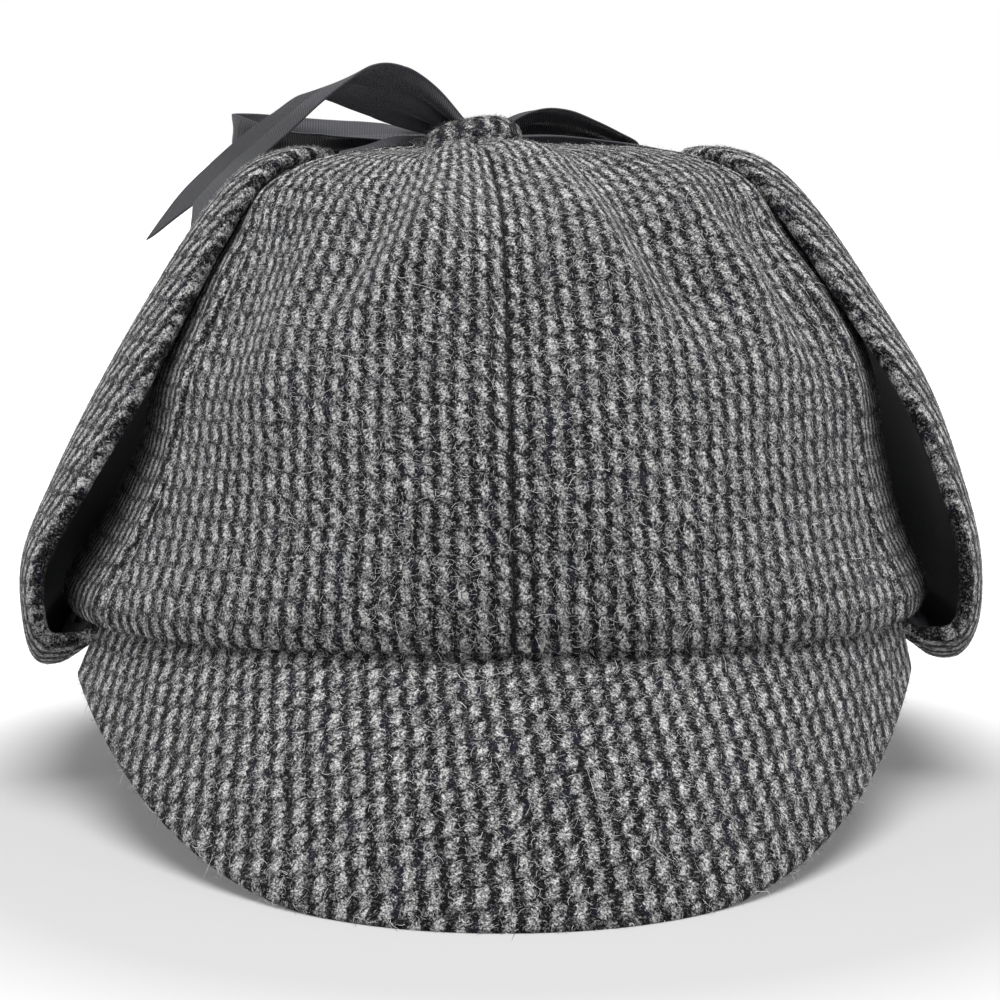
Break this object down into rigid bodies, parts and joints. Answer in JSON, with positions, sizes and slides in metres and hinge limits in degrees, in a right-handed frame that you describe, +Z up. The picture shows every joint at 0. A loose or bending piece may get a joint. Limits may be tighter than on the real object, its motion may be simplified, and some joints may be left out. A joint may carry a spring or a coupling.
{
  "type": "deerstalker hat",
  "caption": "Tweed deerstalker hat with a panelled crown, a peak at the front and back, and ear flaps folded up and tied over the top with a ribbon bow.",
  "frame": {"origin": "centre of the hat at the plane of the two peak edges that it stands on", "axes": "+Z up through the crown, -Y toward the front peak, -X toward the wearer's right ear flap"},
  "size_m": [0.2004, 0.279, 0.1458],
  "materials": {
    "tweed": "woven wool in a small light and dark grey check",
    "lining": "smooth dark navy lining",
    "ribbon": "ribbed black ribbon with a soft sheen"
  },
  "bodies": {
    "root": {"crown_panel_front_left": "tweed", "crown_panel_side_left": "tweed", "crown_panel_back_left": "tweed", "crown_panel_back_right": "tweed", "crown_panel_side_right": "tweed", "crown_panel_front_right": "tweed", "front_peak": "tweed", "back_peak": "tweed", "ear_flap_right_outer": "tweed", "ear_flap_right_inner": "lining", "ear_flap_left_outer": "tweed", "ear_flap_left_inner": "lining", "crown_button": "tweed", "ribbon_knot": "ribbon", "ribbon_tie_right": "ribbon", "ribbon_tie_left": "ribbon", "ribbon_loop_right": "ribbon", "ribbon_loop_left": "ribbon", "ribbon_tail_right": "ribbon", "ribbon_tail_left": "ribbon"}
  },
  "joints": []
}
